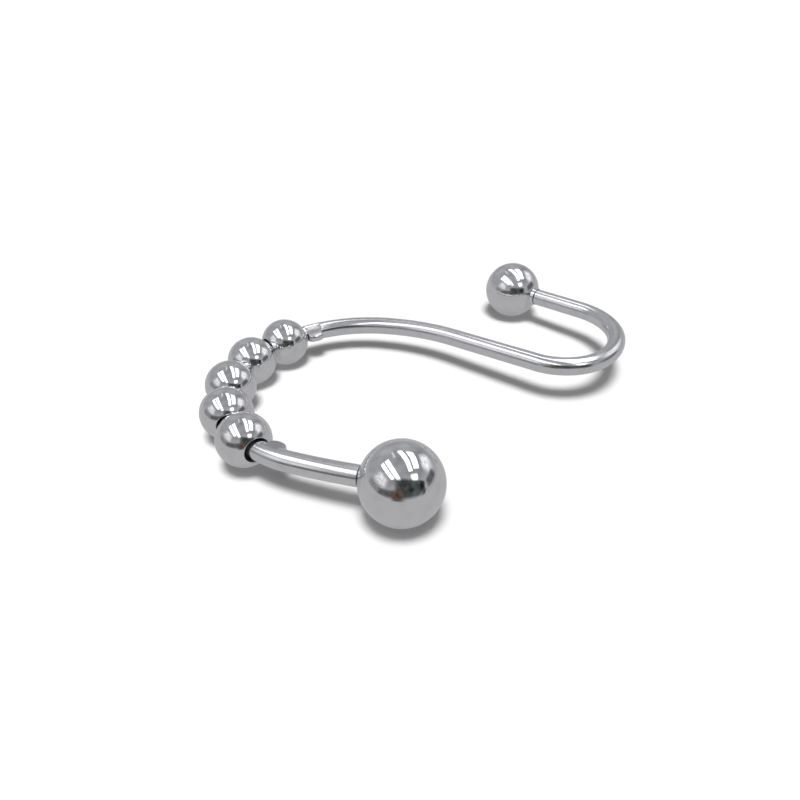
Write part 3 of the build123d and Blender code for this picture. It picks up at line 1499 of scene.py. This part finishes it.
@dataclass
class Studio:
    """The pale table, the soft light above it and what the metal mirrors.

    Attributes:
        ceiling: Height of the light panels above the table.
        table_size: Length of the table's sides.
        table_white: Darkest and lightest white of the table.
        table_grain: How many of its grains fit in a metre.
        key_tilt: How far the shadow lights lean towards the viewer, in radians.
        core_strength: Strength of the light that casts the shadows' cores.
        core_spread: Angle across which that light comes, in radians.
        edge_strength: Strength of the light that softens the shadows' edges.
        edge_spread: Angle across which that light comes, in radians.
        backdrop: Brightness of the room as the camera sees it.
        fill: Brightness of the light from all round, which fills the shadows.
        mirrored_table: Brightness of the table as the metal mirrors it.
        mirrored_evenly: Share of that brightness that is even, whatever shadow falls there.
        mirrored_room: Brightness of the room as the metal mirrors it.
        room_tint: Colour of the room as the metal mirrors it.
        room_strays: How far its brightness strays from even, as a share.
        room_patches: How many of its patches fit in a metre.
        room_contrast: Range of their noise that is spread from the dimmest to the brightest.
        room_radius: Radius of the room as the metal mirrors it.
        room_foot: Height up to which the table's brightness reaches, as a share of that radius.
    """

    ceiling: float = 0.35
    table_size: float = 4.0
    table_white: Point2 = (0.90, 0.92)
    table_grain: float = 40.0
    key_tilt: float = math.radians(10)
    core_strength: float = 2.4
    core_spread: float = math.radians(20)
    edge_strength: float = 0.8
    edge_spread: float = math.radians(50)
    backdrop: float = 1.1
    fill: float = 0.11
    mirrored_table: float = 0.45
    mirrored_evenly: float = 0.92
    mirrored_room: float = 0.38
    room_tint: Colour = (0.97, 0.99, 1.0)
    room_strays: float = 0.28
    room_patches: float = 1.3
    room_contrast: Point2 = (0.3, 0.7)
    room_radius: float = 1.5
    room_foot: float = 0.3

    def strips(self) -> list[Panel]:
        """The bright strips overhead, which run away from the viewer.

        Returns:
            The panels.
        """
        top = self.ceiling
        faint, soft = (0.4, 0.3), (0.3, 0.3)
        return [
            Panel("strip_far_left", (-0.308, -0.215, top), (0.086, 0, 0), (-0.025, 0.440, 0), 1.9),
            Panel("strip_near_left", (-0.198, -0.305, top), (0.078, 0, 0), (-0.025, 0.510, 0), 2.3),
            Panel("strip_near_right", (0.052, -0.175, top), (0.068, 0, 0), (-0.025, 0.470, 0), 2.5),
            Panel("strip_far_right", (0.143, -0.135, top), (0.118, 0, 0), (-0.005, 0.365, 0), 2.5),
            Panel("strip_between", (-0.085, 0.1, top), (0.052, 0, 0), (0.02, 0.26, 0), 0.8, soft=faint),
            Panel("lamp_right", (0.036, -0.262, 0.2), (0.108, 0, 0), (-0.02, 0.14, 0), 2.6, soft=soft),
        ]

    def sides(self) -> list[Panel]:
        """The dimmer panels beside the table.

        Returns:
            The panels.
        """
        soft = (0.35, 0.35)
        return [
            Panel("side_left", (-0.40, -0.23, 0.10), (0, 0.40, 0), (0, 0, 0.30), 0.90, soft=soft),
            Panel("low_left", (-0.42, -0.34, 0.0), (0, 0.56, 0), (0, 0, 0.14), 0.27, soft=(0.2, 0.35)),
            Panel("side_right", (0.45, -0.22, 0.10), (0, 0.52, 0), (0, 0, 0.40), 1.05, soft=soft),
            Panel("far_right", (0.27, -0.33, 0.03), (0.20, 0.34, 0), (0, 0, 0.18), 0.13, soft=(0.3, 0.3)),
        ]

    def screens(self, view: Viewpoint) -> list[Panel]:
        """The dark screens round the lens and behind it.

        Args:
            view: Where the camera stands.

        Returns:
            The panels.
        """
        right, up = view.right, view.up
        green, brown, blue = (0.85, 1.0, 0.93), (1.0, 0.66, 0.50), (0.92, 0.96, 1.0)
        level = Vector((view.forward.x, view.forward.y, 0.0))
        behind = Vector((view.place[0], view.place[1], 0.0)) - level * 0.18 - right * 0.42
        middle = view.beside(-0.032, -0.056)
        low_left = view.beside(-0.052, -0.086, 0.004)
        low_right = view.beside(0.090, -0.076, 0.004)
        return [
            Panel("screen_behind", behind, right * 0.74, Vector((0, 0, 0.12)), 0.12, soft=(0.2, 0.35)),
            Panel("screen_lens", middle, right * 0.178, up * 0.078, 0.07, green, (0.1, 0.2), patchy=0.8),
            Panel("screen_left", low_left, right * 0.07, up * 0.072, 0.14, brown, (0.4, 0.35), patchy=0.6),
            Panel("screen_right", low_right, right * 0.074, up * 0.06, 0.095, blue, (0.4, 0.4), patchy=0.6),
        ]

    def _table(self) -> None:
        """Lays the white table, which the metal mirrors as an even grey."""
        made_of = bpy.data.materials.new("white_table")
        trees = Trees.of(made_of)
        place = trees.out("ShaderNodeTexCoord", output="Object")
        grain = trees.noise(place, self.table_grain, detail=3.0)
        white = trees.spread(grain, (0.0, 1.0), self.table_white)
        matt = trees.out("ShaderNodeBsdfDiffuse", {"Color": white})
        even = trees.out("ShaderNodeEmission", {"Strength": self.mirrored_table})
        share = trees.out("ShaderNodeLightPath", output="Is Glossy Ray") * self.mirrored_evenly
        trees.node("ShaderNodeOutputMaterial", {"Surface": trees.shade(share, matt, even)})
        half = self.table_size / 2
        corners = ((-half, -half), (half, -half), (half, half), (-half, half))
        sheet = bmesh.new()
        sheet.faces.new([sheet.verts.new((x, y, 0.0)) for x, y in corners])
        stand("table", sheet, made_of, mirrored_only=False)

    def _shadow_light(self, name: str, strength: float, spread: float, heading: float) -> None:
        """Hangs a wide light that casts soft shadows and leans towards the viewer.

        Args:
            name: The light's name.
            strength: Its strength.
            spread: Angle across which it comes, in radians.
            heading: The viewer's heading, in radians.
        """
        light = bpy.data.lights.new(name, "SUN")
        light.energy = strength
        light.angle = spread
        made = added(name, light)
        made.matrix_world = Matrix.Rotation(-heading, 4, "Z") @ Matrix.Rotation(self.key_tilt, 4, "X")
        made.visible_glossy = False

    def _light_all_round(self) -> None:
        """Fills the room with even light, which is brighter to the camera than to the table."""
        world = bpy.data.worlds.new("white_room")
        trees = Trees.of(world)
        seen, fill, mirrored = (
            trees.out("ShaderNodeBackground", {"Color": (1.0, 1.0, 1.0, 1.0), "Strength": strength})
            for strength in (self.backdrop, self.fill, self.mirrored_room)
        )
        glossy = trees.out("ShaderNodeLightPath", output="Is Glossy Ray")
        straight = trees.out("ShaderNodeLightPath", output="Is Camera Ray")
        light = trees.shade(straight, trees.shade(glossy, fill, mirrored), seen)
        trees.node("ShaderNodeOutputWorld", {"Surface": light})
        bpy.context.scene.world = world

    def _walls(self) -> None:
        """Surrounds the table with the room's walls, which only the polished metal sees."""
        made_of = bpy.data.materials.new("room_wall")
        trees = Trees.of(made_of)
        place = trees.out("ShaderNodeTexCoord", output="Object")
        glow = trees.spread(trees.noise(place, self.room_patches, detail=2.0), self.room_contrast, (
            self.mirrored_room * (1 - self.room_strays), self.mirrored_room * (1 + self.room_strays),
        ))
        height = trees.out("ShaderNodeSeparateXYZ", {"Vector": place}, "Z")
        low = trees.spread(height, (0.0, self.room_radius * self.room_foot), (1.0, 0.0), smooth=True)
        strength = (self.mirrored_table - glow) * low + glow
        light = trees.out("ShaderNodeEmission", {"Color": (*self.room_tint, 1.0), "Strength": strength})
        trees.node("ShaderNodeOutputMaterial", {"Surface": light})
        dome = bmesh.new()
        bmesh.ops.create_uvsphere(dome, u_segments=48, v_segments=24, radius=self.room_radius)
        stand("room", dome, made_of, mirrored_only=True)

    def build(self, view: Viewpoint) -> None:
        """Sets up the table, the light and the panels.

        Args:
            view: Where the camera stands.
        """
        self._table()
        self._shadow_light("shadow_core", self.core_strength, self.core_spread, view.heading)
        self._shadow_light("shadow_edge", self.edge_strength, self.edge_spread, view.heading)
        self._light_all_round()
        self._walls()
        for panel in self.strips() + self.sides() + self.screens(view):
            panel.build()
        bpy.context.scene.view_settings.view_transform = "Standard"


def main() -> None:
    """Builds the hook's pieces in order and sets up the studio."""
    logging.basicConfig(level=logging.INFO, format="%(name)s: %(message)s")
    placing = Placing(frame["record"])
    workshop = Workshop(HookTrees(), SurfaceEffects(), placing)
    rollers = Rollers(workshop)
    wire = HookWire(workshop)
    angles = [placing.roller_angle(index) for index in range(len(placing.hinges))]
    path = wire.walk(angles, rollers.reach(wire.ear_gap))
    wire.build(path)
    rollers.build()
    large = EndBall(
        workshop, "large_end_ball", "large_ball", LARGE_BALL_FINISH,
        diameter=11.5 * MM, wire_diameter=wire.wire_diameter, socket_depth=wire.socket_depth,
        neck_length=0.0, neck_height=0.05 * MM,
    )
    large.build(path.points[::-1])
    small = EndBall(
        workshop, "small_end_ball", "small_ball", SMALL_BALL_FINISH,
        diameter=10.5 * MM, wire_diameter=wire.wire_diameter, socket_depth=wire.socket_depth,
        neck_length=wire.small_neck_length, neck_height=0.12 * MM,
    )
    small.build(path.points)
    view = Viewpoint()
    Studio().build(view)
    view.build()


if __name__ == "__main__":
    main()
